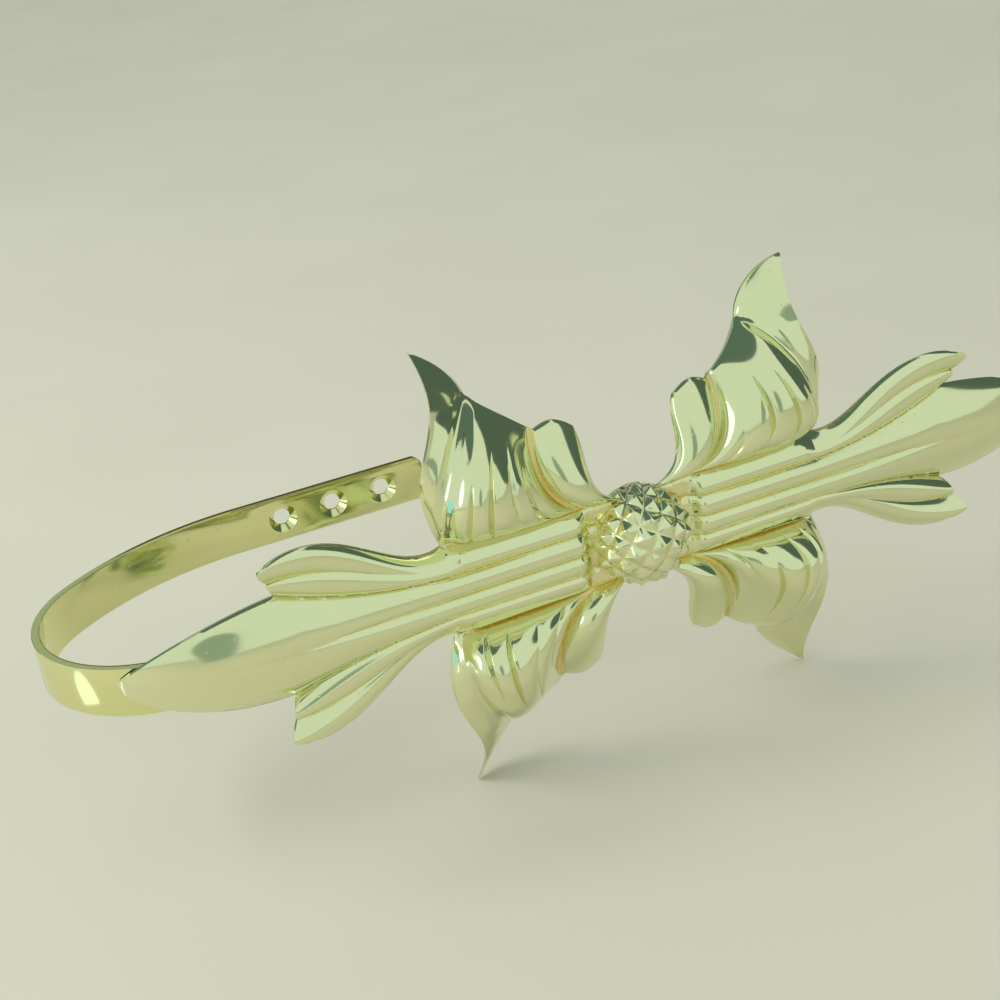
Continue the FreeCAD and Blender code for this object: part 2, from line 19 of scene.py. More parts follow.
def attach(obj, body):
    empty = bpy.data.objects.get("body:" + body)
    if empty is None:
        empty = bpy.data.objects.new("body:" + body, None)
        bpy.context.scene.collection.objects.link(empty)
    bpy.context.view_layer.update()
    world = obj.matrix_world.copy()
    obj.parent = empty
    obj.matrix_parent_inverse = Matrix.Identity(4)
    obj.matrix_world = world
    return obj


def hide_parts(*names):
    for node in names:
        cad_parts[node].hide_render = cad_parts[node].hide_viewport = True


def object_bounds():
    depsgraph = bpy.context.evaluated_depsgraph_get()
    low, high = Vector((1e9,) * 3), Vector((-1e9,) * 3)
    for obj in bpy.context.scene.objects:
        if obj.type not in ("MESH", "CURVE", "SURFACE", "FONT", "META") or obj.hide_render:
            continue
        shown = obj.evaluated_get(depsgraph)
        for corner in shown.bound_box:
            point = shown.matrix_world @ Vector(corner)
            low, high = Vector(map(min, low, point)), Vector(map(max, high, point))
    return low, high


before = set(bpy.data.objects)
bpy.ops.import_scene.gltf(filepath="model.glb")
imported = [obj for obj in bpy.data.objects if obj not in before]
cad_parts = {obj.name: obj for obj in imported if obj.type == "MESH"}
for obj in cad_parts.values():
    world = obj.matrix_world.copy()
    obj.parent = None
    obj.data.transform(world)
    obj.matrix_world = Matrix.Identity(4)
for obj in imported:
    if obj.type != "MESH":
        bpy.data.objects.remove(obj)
cad_low, cad_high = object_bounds()
MM = 0.001
print("construction box, mm:", [round(side / MM, 1) for side in cad_high - cad_low])

# %% [markdown]
# ## Drawing by surface
#
# Pressed metal has no flat faces, so it can't be put together from boxes and cylinders.
# Each part of the sheet is a flat grid whose points are carried onto a surface by a
# formula with two coordinates, one across the part and one along it.  Two parts that share
# a border use the same formula there, so their points meet and can be merged.  A second
# number goes with each point: how deep it lies in a hollow that a polishing wheel can't
# reach.  The finish reads it later: it makes the hollows rougher and grainier, and paints
# a deeper gold into them, a painted reflection of the warm light bouncing between their walls.


# %% A grid carried onto a surface
def spaced(count):
    """Even steps from 0 to 1."""
    return [step / count for step in range(count + 1)]


def press(mesh, across, along, surface):
    """Carry a flat grid, with columns and rows at these places, onto a surface."""
    hollow = mesh.verts.layers.float["hollow"]
    made = bmesh.ops.create_grid(mesh, x_segments=len(across) - 1,
                                 y_segments=len(along) - 1, size=0.5)
    for vert in made["verts"]:
        column = round((vert.co.x + 0.5) * (len(across) - 1))
        row = round((vert.co.y + 0.5) * (len(along) - 1))
        place, depth = surface(across[column], along[row])
        vert.co = place
        # The hollow depth later gives rougher grain and a painted reflection: a deeper gold for
        # bounced light.
        vert[hollow] = depth


def bezier(points, t):
    """The point at t on the Bezier curve of these control points."""
    points = list(points)
    while len(points) > 1:
        points = [a.lerp(b, t) for a, b in zip(points, points[1:])]
    return points[0]


def arch(t, lean=1.0, fullness=1.0):
    """From 0 up to 1 and back to 0; a lean under 1 moves the top towards the start."""
    return max(math.sin(math.pi * t ** lean), 0.0) ** fullness


def fade(value, start, end):
    """A soft step from 0 at start to 1 at end."""
    share = min(max((value - start) / (end - start), 0.0), 1.0)
    return share * share * (3 - 2 * share)


# %% [markdown]
# ## The side leaf
#
# One acanthus leaf stands on each side of the stem, above and below the boss: a small
# round lobe, a deep groove, a swelling body cut by narrow slits, and a flange that turns
# up into a thin tip.  Only one leaf is drawn, in millimetres from the centre of the plate,
# with y running back towards the wall.  Its lines are the same as in the solid model.

# %% The leaf's lines
GROOVE = [Vector(p) for p in ((12.8, -2.0, 10.6), (19.4, -3.6, 12.8),
                              (26.0, -2.6, 21.4), (22.5, 0.5, 32.2))]
CREASE = [Vector(p) for p in ((45.9, -1.2, 11.6), (54.7, -10.7, 17.6),
                              (40.1, -4.5, 40.9), (35.4, 7.0, 42.6))]
RIM = [Vector(p) for p in ((48.8, 0.0, 11.3), (58.9, -3.5, 35.6),
                           (41.3, -5.4, 36.1), (47.4, 4.7, 56.0))]
TIP_INNER = [Vector(p) for p in ((35.4, 7.0, 42.6), (36.5, 8.5, 48.0),
                                 (42.0, 9.5, 52.5), (46.2, 5.4, 55.4))]
STEM_START = Vector((4.0, -2.4, 10.1))
LOBE_EDGE = [Vector(p) for p in (STEM_START, (15.5, -6.5, 15.5),
                                 (10.0, -1.0, 24.0), (13.2, -0.3, 31.0))]
RIM_SPLIT = 0.7
LEAF_BELLY, FOLD_HEIGHT, LOBE_BELLY = 7.5, 0.4, 4.0

# The body's broad folds meet in slits.  Each has its place across the body, its depth, and
# where along the leaf it opens and closes.  Fine pleats run out of the root between them.
SLITS = [(0.26, 0.4, 0.04, 0.42), (0.48, 0.9, 0.28, 0.80), (0.72, 1.2, 0.08, 0.70),
         (0.88, 0.8, 0.04, 0.52)]
SLIT_HALF_WIDTH = 0.8
PLEATS, PLEAT_HEIGHT = 9, 0.05

# Beside the lobe the body starts with a flat strip, the floor of the groove.  A fixed share
# of the columns keeps to the floor and the wall beside it, so both hold their real width.
CHANNEL_SHARE, CHANNEL_WIDTH, FLOOR_WIDTH = 0.09, 2.8, 1.4


# %% The body's swelling form, its folds, slits and channel
def ruled(s, t):
    """The straight way from the groove, where s is 0, to the crease, where it is 1."""
    return bezier(GROOVE, t).lerp(bezier(CREASE, t), s)


def swelling(s, t):
    """The body without folds, as it swells out of the ruled surface; t runs up the leaf."""
    point = ruled(s, t)
    crown = s ** 1.1 * (1 - s) ** 0.55 / 0.38
    point.y -= LEAF_BELLY * crown * arch(t, 0.85, 0.8) + 1.8 * arch(s) * t * t
    return point


def body_place(column, t):
    """Where a column lies between the groove and the crease."""
    channel = CHANNEL_WIDTH / (bezier(CREASE, t) - bezier(GROOVE, t)).length
    if column < CHANNEL_SHARE:
        return column / CHANNEL_SHARE * channel
    return channel + (column - CHANNEL_SHARE) / (1 - CHANNEL_SHARE) * (1 - channel)


def outward(surface, s, t):
    """The direction square to a surface, towards the viewer."""
    step = 0.01
    across = surface(min(s + step, 1.0), t) - surface(max(s - step, 0.0), t)
    along = surface(s, min(t + step, 1.0)) - surface(s, max(t - step, 0.0))
    normal = across.cross(along)
    if normal.length == 0:
        return Vector((0, -1, 0))
    normal.normalize()
    return -normal if normal.y > 0 else normal


def fold_height(column, t):
    """How far a fold stands out; towards the free edge the folds soften and die away."""
    edges = [CHANNEL_SHARE] + [slit[0] for slit in SLITS]
    height = 0.0
    for start, end in zip(edges, edges[1:]):
        if start <= column < end:
            softened = 1.0 + 1.0 * fade(t, 0.1, 0.5)
            crest = arch((column - start) / (end - start), 1.0, softened)
            height = FOLD_HEIGHT * crest * fade(t, 0.0, 0.2) * (1 - fade(t, 0.35, 0.85))
    pleat = arch((PLEATS * column) % 1.0, 1.0, 0.8) * fade(t, 0.0, 0.08)
    return height + PLEAT_HEIGHT * pleat * (1 - fade(t, 0.12, 0.42)) * (1 - column ** 8)


def body(column, t):
    s = body_place(column, t)
    width = (bezier(CREASE, t) - bezier(GROOVE, t)).length
    height, hollow = fold_height(column, t), 0.0
    for place, depth, start, end in SLITS:
        if start < t < end:
            opening = arch((t - start) / (end - start), 0.8, 0.6)
            half_width = SLIT_HALF_WIDTH * opening
            cut = max(1 - abs(column - place) * width / half_width, 0.0)
            height -= depth * opening * cut
            hollow = max(hollow, 0.3 * fade(cut, 0.6, 1.0))
    wall = fade(s * width, FLOOR_WIDTH, CHANNEL_WIDTH)
    raised = swelling(s, t) + outward(swelling, s, t) * height
    floor = 1 - fade(s * width, FLOOR_WIDTH, FLOOR_WIDTH + 0.1)
    root = 1 - fade(t * 40, 0.9 - 0.6 * column, 1.6 - column)
    return ruled(s, t).lerp(raised, wall), max(hollow, floor, root)


def flange(v, t):
    """The band outside the crease, which turns up to the free rim."""
    point = bezier(CREASE, t).lerp(bezier(RIM, RIM_SPLIT * t), v)
    point.y -= 0.8 * arch(v) * math.sin(math.pi * t / 2)
    return point, 0.2 * (1 - fade(v, 0.0, 0.15)) * (1 - fade(t, 0.8, 1.0))


def tip(v, t):
    point = bezier(TIP_INNER, t).lerp(bezier(RIM, RIM_SPLIT + (1 - RIM_SPLIT) * t), v)
    point.y -= 0.8 * arch(v) * math.cos(math.pi * t / 2)
    return point, 0.0


def lobe(v, t):
    """The small rounded lobe between the boss and the body."""
    point = bezier(GROOVE, t).lerp(bezier(LOBE_EDGE, t), v)
    point.y -= LOBE_BELLY * arch(v, 0.85, 0.6) * arch(t, 0.9, 0.8)
    point.z += 1.8 * arch(v) * t ** 3
    width = (bezier(LOBE_EDGE, t) - bezier(GROOVE, t)).length
    channel = 1 - fade(v * width, 0.0, 0.3)
    return point, max(0.6 * channel, 1 - fade(t * 20, 0.5, 1.8))


# %% [markdown]
# ## The stem and the sprays at its ends
#
# The stem is a bundle of four reeds with flat crests, and close to the boss they sink and
# flatten.  Past the leaf's crotch the outer reed opens along its crest into a leaflet with
# two folds, each with a rounded point, and the inner pair runs on as one broad end leaf
# whose tip curls back to the bar.

# %% The stem's lines and its reeds
STEM_EDGE, REED_LINE, REED_HEIGHT = 10.5, 5.25, 1.6
SINK_START, SINK_END, SINK_DEPTH = 16.8, 13.2, 2.0
LEAFLET_POINT = 1.5
MIDDLE_Y, REED_Y = -4.4, -3.8
TIP_Y = 4.18
MIDDLE = [Vector(p) for p in ((48.8, MIDDLE_Y, 0), (60.0, -4.6, 0),
                              (72.0, -5.0, 0), (84.5, -5.0, 0))]
REED = [Vector(p) for p in ((48.8, REED_Y, REED_LINE), (62.0, -3.8, 5.6),
                            (76.0, -2.5, 8.0), (88.0, -0.8, 12.6))]
LEAFLET = [Vector(p) for p in ((48.8, 0.0, 11.3), (56.5, -1.8, 9.0), (64.0, -1.2, 13.5),
                               (70.0, -1.6, 24.0), (84.0, -4.6, 26.0), (91.2, -6.0, 21.7))]
END_MIDDLE = [MIDDLE[-1]] + [Vector(p) for p in ((102.0, -6.5, 0), (117.0, -3.5, 0),
                                                 (124.5, TIP_Y, 0))]
END_EDGE = [REED[-1]] + [Vector(p) for p in ((104.0, -3.0, 12.2), (119.0, -1.5, 6.5),
                                             (124.2, TIP_Y - 0.2, 1.5))]


def reeded(inner, outer, v, share=1.0):
    """Across one reed, from its inner line to its outer line."""
    point = inner.lerp(outer, v)
    point.y -= REED_HEIGHT * share * (1 - abs(2 * v - 1) ** 3)
    return point


def valley(v, width):
    """How hollow a point is that lies this far across a reed, near either of its lines."""
    return 0.8 * (1 - fade(min(v, 1 - v) * width, 0.12, 0.4))


def stem_part(start, end):
    """The surfaces of one straight length of stem: its inner reed, and its outer one."""
    def line(x, y, z):
        return Vector((x, y + SINK_DEPTH * (1 - fade(x, SINK_END, SINK_START)), z))

    def crest(x):
        return 1 - 0.6 * (1 - fade(x, SINK_END, SINK_START))

    def collar(x):
        return 0.5 * (1 - fade(x, SINK_END, SINK_END + 1.5))

    def inner(v, t):
        x = start.x + (end.x - start.x) * t
        return (reeded(line(x, MIDDLE_Y, 0), line(x, REED_Y, REED_LINE), v, crest(x)),
                max(valley(v, 5.25), collar(x)))

    def outer(v, t):
        x = start.x + (end.x - start.x) * t
        return (reeded(line(x, REED_Y, REED_LINE), start.lerp(end, t), v, crest(x)),
                max(valley(v, 5.25), collar(x), 1 - fade((1 - v) * 5.25, 0.1, 0.5)))
    return inner, outer


def spray_reed(v, t):
    return reeded(bezier(MIDDLE, t), bezier(REED, t), v), valley(v, 5.25 + 7 * t) * (1 - 0.5 * t)


def leaflet(v, t):
    """The outer reed, which parts along its crest into the leaflet's two folds."""
    parting = fade(t, 0.0, 1.0)
    inner, outer = bezier(REED, t), bezier(LEAFLET, t)
    point = reeded(inner, outer, v, 1 - parting)
    fold = arch((2 * v) % 1.0 if v < 1 else 1.0, 1.0, 0.7)
    point.y -= REED_HEIGHT * parting * fold
    point += Vector((0.86, 0, 0.5)) * LEAFLET_POINT * (0.6 + 0.8 * v) * fold * fade(t, 0.8, 1.0)
    width = (outer - inner).length
    slit = parting * (1 - fade(abs(v - 0.5) * width, 0.12, 0.45))
    return point, max(0.6 * slit, valley(v, width) * (1 - parting))


def end_leaf(v, t):
    relief = (1 - t) ** 1.5
    point = reeded(bezier(END_MIDDLE, t), bezier(END_EDGE, t), v, relief)
    width = 12.6 * (1 - t)
    return point, 0.7 * relief * (1 - fade(v * width, 0.1, 0.6))


# %% [markdown]
# ## One quarter, then the whole sheet
#
# The ornament is the same to the left and right of the boss and above and below the stem.
# The quarter is mirrored twice with its normals recalculated, and the borders are merged.
# The back of a pressed sheet follows its front, so the faces are copied, moved back by
# the sheet's thickness and joined to the front by a wall round the rim.

# %% Press the quarter
SHEET_THICK = 1.0


def spaced_round(places, count, reach, extra):
    """Even steps, with some extra ones on both sides of each of these places."""
    found = [(step, 1) for step in spaced(count)]
    for place in places:
        near = [place + reach * step / extra for step in range(-extra, extra + 1)]
        found += [(step, 0) for step in near if 0 <= step <= 1]
    kept = []
    for step, even in sorted(found):
        if kept and step - kept[-1][0] < reach / extra * 0.7:
            if even and 0 < step < 1:
                continue
            kept.pop()
        kept.append((step, even))
    return [0.0] + [step for step, even in kept if 0 < step < 1] + [1.0]


CHANNEL_COLUMNS = [CHANNEL_SHARE * step / CHANNEL_WIDTH
                   for step in (0.0, 0.7, FLOOR_WIDTH, FLOOR_WIDTH + 0.12, 1.8, 2.1, 2.45)]
SLIT_REACH = 0.028


def pressed_quarter():
    mesh = bmesh.new()
    mesh.verts.layers.float.new("hollow")
    rows = spaced_round([0.0], 44, 0.045, 5)
    folds = spaced_round([slit[0] for slit in SLITS], 30, SLIT_REACH, 6)
    columns = CHANNEL_COLUMNS + [step for step in folds if step >= CHANNEL_SHARE]
    press(mesh, columns, rows, body)
    press(mesh, spaced(12), rows, flange)
    press(mesh, spaced(12), spaced(18), tip)
    press(mesh, spaced_round([0.0], 22, 0.06, 3), rows, lobe)
    lobe_root = spaced_round([0.0], 22, 0.06, 3)
    lengths = [(STEM_START, GROOVE[0], [1 - step for step in reversed(lobe_root)]),
               (GROOVE[0], CREASE[0], [body_place(column, 0.0) for column in columns]),
               (CREASE[0], RIM[0], spaced(12))]
    across = spaced_round([0.0, 1.0], 10, 0.1, 2)
    for start, end, steps in lengths:
        inner, outer = stem_part(start, end)
        press(mesh, across, steps, inner)
        press(mesh, across, steps, outer)
    press(mesh, across, spaced(32), spray_reed)
    press(mesh, spaced_round([0.5], 20, 0.06, 3), spaced(40), leaflet)
    press(mesh, across, spaced(32), end_leaf)
    bmesh.ops.remove_doubles(mesh, verts=mesh.verts[:], dist=0.02)
    return mesh


def gutter(mesh, line, reach, depth, rounds):
    """Sink a soft gutter along a line between two parts, but leave the sheet's own edge."""
    course = [bezier(line, t) for t in spaced(60)]
    away = {vert: min((vert.co - point).length for point in course)
            for vert in mesh.verts if not vert.is_boundary}
    near = [vert for vert in away if away[vert] < reach]
    for vert in near:
        vert.co.y += depth * (1 - fade(away[vert], 0.0, reach))
    for _ in range(rounds):
        bmesh.ops.smooth_vert(mesh, verts=near, factor=0.5, use_axis_x=True,
                              use_axis_y=True, use_axis_z=True)


quarter = pressed_quarter()
gutter(quarter, CREASE, 2.6, 1.0, 5)
print("one quarter of the sheet:", len(quarter.faces), "faces")


# %% Mirror it, and give it its thickness
def mirrored_copy(mesh, axis):
    """Add the mirror image across the plane that is square to this axis."""
    flip = Matrix.Scale(-1, 4, axis)
    copied = bmesh.ops.duplicate(mesh, geom=mesh.faces[:])
    fresh = [item for item in copied["geom"] if isinstance(item, bmesh.types.BMVert)]
    bmesh.ops.transform(mesh, matrix=flip, verts=fresh)
    bmesh.ops.remove_doubles(mesh, verts=mesh.verts[:], dist=0.02)


def in_place(mesh, centre):
    """Move a mesh drawn in millimetres to its place in the frame, in metres."""
    bmesh.ops.transform(mesh, matrix=Matrix.Translation(centre * MM) @ Matrix.Scale(MM, 4),
                        verts=mesh.verts[:])


def piece_of(mesh, name, node, sharp_angle):
    """Make an object of a mesh that stands for a node; it is smooth but for sharp edges."""
    for face in mesh.faces:
        face.smooth = True
    for edge in mesh.edges:
        if len(edge.link_faces) == 2:
            edge.smooth = edge.calc_face_angle(0.0) < math.radians(sharp_angle)
    data = bpy.data.meshes.new(name)
    mesh.to_mesh(data)
    piece = bpy.data.objects.new(name, data)
    bpy.context.scene.collection.objects.link(piece)
    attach(piece, "root")
    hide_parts(node)
    print(name, "has", len(data.polygons), "faces")
    return piece


mirrored_copy(quarter, Vector((0, 0, 1)))
mirrored_copy(quarter, Vector((1, 0, 0)))
bmesh.ops.recalc_face_normals(quarter, faces=quarter.faces[:])
if sum(face.normal.y * face.calc_area() for face in quarter.faces) > 0:
    bmesh.ops.reverse_faces(quarter, faces=quarter.faces[:])
open_edges = [edge for edge in quarter.edges if len(edge.link_faces) == 1]
print("edges round the rim:", len(open_edges))
thickened = bmesh.ops.extrude_face_region(quarter, geom=quarter.faces[:],
                                          use_keep_orig=True)
back = [item for item in thickened["geom"] if isinstance(item, bmesh.types.BMVert)]
bmesh.ops.translate(quarter, vec=(0, SHEET_THICK, 0), verts=back)
bmesh.ops.recalc_face_normals(quarter, faces=quarter.faces[:])
PLATE_CENTRE = Vector((54.5, -69.9, 2.0))
in_place(quarter, PLATE_CENTRE)
leaf_sheet = piece_of(quarter, "leaf_sheet", "leaf_plate", 55.0)

# %% [markdown]
# ## The boss
#
# In the middle sits a ball like a seed head: a lattice of low pyramids between two
# crossing sets of valleys.  One square grid is laid round the ball, so that its lines run
# along the valleys, and each point is lifted by how near it lies to its cell's middle.
# What falls outside the ball's foot is cut away, the cut edge is drawn into a circle, and
# extruding that circle step by step makes the skirt and the hollow behind, as turning
# would.

# %% The lattice of the boss
BOSS_RADIUS, BOSS_SKIRT, STAND_OFF = 12.9, 3.0, 1.4
CELL_ANGLE, CELL_DEPTH = 5.2 / 12.9, 1.3
LATTICE_TURN, LATTICE_SHIFT = math.radians(57), (0.7, 0.42)
CELL_STEPS, GRID_CELLS, FOOT_ANGLE = 12, 10, math.radians(98)
BALL_CENTRE = Vector((0, STAND_OFF - BOSS_SKIRT, 0))
ROW_WAY = Vector((math.cos(LATTICE_TURN), 0, math.sin(LATTICE_TURN)))
COLUMN_WAY = Vector((math.sin(LATTICE_TURN), 0, -math.cos(LATTICE_TURN)))


def seed_height(row, column):
    """How high a point of a cell stands: 0 in a valley, 1 on the blunt peak."""
    a = abs((row % 1.0) * 2 - 1)
    b = abs((column % 1.0) * 2 - 1)
    pyramid = 1 - max(a, b)
    pillow = (1 - a * a) * (1 - b * b)
    return 0.94 * pyramid + 0.06 * pillow


def ball_point(row, column):
    across = (row + LATTICE_SHIFT[0]) * CELL_ANGLE
    up = (column + LATTICE_SHIFT[1]) * CELL_ANGLE
    sideways = ROW_WAY * across + COLUMN_WAY * up
    angle = min(sideways.length, FOOT_ANGLE)
    outside = sideways.length > FOOT_ANGLE
    foot = fade(angle, math.radians(88), FOOT_ANGLE)
    height = CELL_DEPTH * seed_height(row, column) * (1 - 0.8 * foot)
    way = sideways.normalized() * math.sin(angle) - Vector((0, math.cos(angle), 0))
    return BALL_CENTRE + way * (BOSS_RADIUS - CELL_DEPTH + height), outside, foot


boss = bmesh.new()
hollow = boss.verts.layers.float.new("hollow")
cells = GRID_CELLS * CELL_STEPS
bmesh.ops.create_grid(boss, x_segments=cells, y_segments=cells, size=GRID_CELLS / 2)
beyond = set()
for vert in boss.verts:
    row, column = vert.co.x, vert.co.y
    place, outside, foot = ball_point(row, column)
    vert.co = place
    # Lattice valleys and the foot get hollow depth: rough grain plus a painted reflection in
    # deeper gold.
    vert[hollow] = max(0.5 * (1 - fade(seed_height(row, column), 0.0, 0.1)), 0.3 * foot)
    if outside:
        beyond.add(vert)
waste = [face for face in boss.faces if all(vert in beyond for vert in face.verts)]
bmesh.ops.delete(boss, geom=waste, context="FACES")
bmesh.ops.remove_doubles(boss, verts=boss.verts[:], dist=0.01)

# %% The skirt and the hollow behind it
SEAT_RADIUS, HOLLOW_RADIUS = 3.85, 9.8
SEAT_Y, TAPER_Y = BALL_CENTRE.y - BOSS_RADIUS + 3.9, BALL_CENTRE.y - 3.17


def next_ring(mesh, ring, radius, y):
    """Extrude an open ring of edges to a new radius and depth, and return the new ring."""
    made = bmesh.ops.extrude_edge_only(mesh, edges=ring)
    for item in made["geom"]:
        if isinstance(item, bmesh.types.BMVert):
            scale = radius / math.hypot(item.co.x, item.co.z)
            item.co = Vector((item.co.x * scale, y, item.co.z * scale))
    return [item for item in made["geom"] if isinstance(item, bmesh.types.BMEdge)]


ring = [edge for edge in boss.edges if len(edge.link_faces) == 1]
ring = next_ring(boss, ring, 11.6, BALL_CENTRE.y + 1.9)
ring = next_ring(boss, ring, 11.6, STAND_OFF)
ring = next_ring(boss, ring, HOLLOW_RADIUS, STAND_OFF)
ring = next_ring(boss, ring, HOLLOW_RADIUS, TAPER_Y)
ring = next_ring(boss, ring, SEAT_RADIUS, SEAT_Y)
bmesh.ops.edgeloop_fill(boss, edges=ring)
bmesh.ops.recalc_face_normals(boss, faces=boss.faces[:])
in_place(boss, PLATE_CENTRE)
seed_boss = piece_of(boss, "seed_boss", "leaf_plate", 75.0)

# %% [markdown]
# ## The bar
#
# The bar is drawn flat stock, 12 by 2 mm, bent cold round a former.  Its section is one
# rectangle, extruded along the straight legs and spun round the two bends, which is how
# the real one comes about.  The free ends are rounded off, and every long edge gets the
# small radius that drawn stock has, because that radius is what catches a line of light.

# %% Extrude and spin the section along the hook
BAR_WIDTH, BAR_THICK = 12.0, 2.0
BAR_DEPTH, BEND_RADIUS, BEND_X, LEG_START_X = 68.5, 29.0, -55.0, -26.2
path_radius = BEND_RADIUS - BAR_THICK / 2
front_y = BAR_THICK / 2 - BAR_DEPTH
bend_centre = Vector((BEND_X, front_y + path_radius, 0))
run = LEG_START_X - bend_centre.x
drop = -BAR_THICK / 2 - bend_centre.y
sweep_radius = (run ** 2 + drop ** 2 - path_radius ** 2) / (2 * (drop - path_radius))
sweep = math.asin(run / (sweep_radius - path_radius))
sweep_centre = Vector((LEG_START_X, -BAR_THICK / 2 - sweep_radius, 0))
WALL_END, FRONT_END = 26.0, 162.5
STRAIGHT_STEP, END_ROUND, EDGE_ROUND = 60.0, 2.5, 0.22


def run_on(mesh, faces, vec):
    """Extrude the end face by a straight length and return the new end face."""
    made = bmesh.ops.extrude_face_region(mesh, geom=faces)
    moved = [item for item in made["geom"] if isinstance(item, bmesh.types.BMVert)]
    bmesh.ops.translate(mesh, vec=vec, verts=moved)
    return [item for item in made["geom"] if isinstance(item, bmesh.types.BMFace)]


def run_round(mesh, faces, centre, angle, steps):
    """Spin the end face round a bend and return the new end face."""
    made = bmesh.ops.spin(mesh, geom=faces, cent=centre, axis=(0, 0, 1), angle=angle,
                          steps=steps, use_merge=False, dvec=(0, 0, 0))
    return [item for item in made["geom_last"] if isinstance(item, bmesh.types.BMFace)]


bar = bmesh.new()
corners = [bar.verts.new((FRONT_END, front_y + dy * BAR_THICK / 2, dz * BAR_WIDTH / 2))
           for dy, dz in ((-1, -1), (1, -1), (1, 1), (-1, 1))]
end_face = [bar.faces.new(corners)]
for length in 3 * [STRAIGHT_STEP] + [FRONT_END - BEND_X - 3 * STRAIGHT_STEP]:
    end_face = run_on(bar, end_face, (-length, 0, 0))
end_face = run_round(bar, end_face, bend_centre, -(math.pi - sweep), 60)
end_face = run_round(bar, end_face, sweep_centre, -sweep, 40)
end_face = run_on(bar, end_face, (WALL_END - sweep_centre.x, 0, 0))
bmesh.ops.remove_doubles(bar, verts=bar.verts[:], dist=0.001)
bmesh.ops.recalc_face_normals(bar, faces=bar.faces[:])
end_corners = [edge for edge in bar.edges
               if abs((edge.verts[0].co - edge.verts[1].co).y) > 1.9
               and max(vert.co.x for vert in edge.verts) > WALL_END - 0.01
               and (abs(edge.verts[0].co.x - WALL_END) < 0.01
                    or abs(edge.verts[0].co.x - FRONT_END) < 0.01)]
bmesh.ops.bevel(bar, geom=end_corners, offset=END_ROUND, offset_type="OFFSET", affect="EDGES",
                segments=8, profile=0.5, material=-1)
long_edges = [edge for edge in bar.edges if edge.calc_face_angle(0.0) > math.radians(60)]
bmesh.ops.bevel(bar, geom=long_edges, offset=EDGE_ROUND, offset_type="OFFSET", affect="EDGES",
                segments=3, profile=0.5, material=-1)
print("the bar before its holes:", len(bar.faces), "faces, ends rounded:", len(end_corners))


# %% Countersink the screw holes
def turned(profile, centre):
    """Spin a profile of (radius, y) points round the y axis into a closed solid."""
    mesh = bmesh.new()
    points = [mesh.verts.new((radius, y, 0)) for radius, y in profile]
    edges = [mesh.edges.new(pair) for pair in zip(points, points[1:])]
    bmesh.ops.spin(mesh, geom=points + edges, cent=(0, 0, 0), axis=(0, 1, 0),
                   angle=2 * math.pi, steps=64, use_merge=True, dvec=(0, 0, 0))
    bmesh.ops.remove_doubles(mesh, verts=mesh.verts[:], dist=0.0005)
    bmesh.ops.recalc_face_normals(mesh, faces=mesh.faces[:])
    bmesh.ops.translate(mesh, vec=centre, verts=mesh.verts[:])
    return mesh


def plain_object(mesh, name):
    data = bpy.data.meshes.new(name)
    mesh.to_mesh(data)
    made = bpy.data.objects.new(name, data)
    bpy.context.scene.collection.objects.link(made)
    return made


HOLE_RADIUS, SINK_RADIUS, HOLE_PITCH = 2.2, 3.8, 14.0
SINK_PROFILE = [(0, -3.0), (SINK_RADIUS + 1.0, -3.0), (HOLE_RADIUS, -0.4),
                (HOLE_RADIUS, 1.0), (0, 1.0)]
whole_bar = plain_object(bar, "bar_before_holes")
cutters = []
for number in (-1, 0, 1):
    cutters.append(plain_object(turned(SINK_PROFILE, Vector((number * HOLE_PITCH, 0, 0))),
                                "sink_%d" % (number + 1)))
STUD_X, STUD_Z = 54.5, 2.0
cutters.append(plain_object(turned([(0, -1.5), (2.1, -1.5), (2.1, 1.5), (0, 1.5)],
                                   Vector((STUD_X, front_y, STUD_Z))), "stud_hole"))
for cutter in cutters:
    cut = whole_bar.modifiers.new(cutter.name, "BOOLEAN")
    cut.object = cutter
    cut.operation = "DIFFERENCE"
    cut.solver = "EXACT"
bpy.context.view_layer.update()
drilled = whole_bar.evaluated_get(bpy.context.evaluated_depsgraph_get())
bar = bmesh.new()
bar.from_mesh(drilled.to_mesh())
for spare in cutters + [whole_bar]:
    bpy.data.objects.remove(spare)
in_place(bar, Vector())
strap = piece_of(bar, "strap_bar", "strap", 28.0)

# %% [markdown]
# ## The stud
#
# A turned stud joins the plate to the bar.  Its shoulder stands between them, inside the
# boss, and its end is riveted over behind the bar into a low, slightly domed head.

# %% Turn the stud
stud_profile = [(0, -80.5), (3.45, -80.5), (3.75, -80.2), (3.75, -68.5), (2.0, -68.5),
                (2.0, -66.5), (3.5, -66.5), (3.5, -66.1), (3.2, -65.55), (2.3, -65.2),
                (0, -65.1)]
stud = turned(stud_profile, Vector((STUD_X, 0, STUD_Z)))
in_place(stud, Vector())
rivet_stud = piece_of(stud, "rivet_stud", "centre_stud", 40.0)

# %% [markdown]
# ## The finish
#
# The ornament and the bar are brass, buffed to a mirror and sprayed with clear lacquer, so
# they are nearly colourless in the lights and show a pale lemon yellow in between.  What
# tells the eye that it's metal is the reflection, and what tells it that it's real is what
# disturbs the reflection: the press leaves faint waves, handling leaves hair scratches,
# and grit leaves pits.  The wheel never reaches the hollows, so these stay rougher and
# grainier.  The deeper gold laid into them is a painted reflection: it stands for the warm
# light that bounces between the walls of a hollow.


# %% Helpers for materials
def colour(code):
    """An sRGB hex colour as the linear values that a node takes."""
    parts = [int(code[at:at + 2], 16) / 255 for at in (1, 3, 5)]
    return [p / 12.92 if p <= 0.04045 else ((p + 0.055) / 1.055) ** 2.4 for p in parts] + [1]


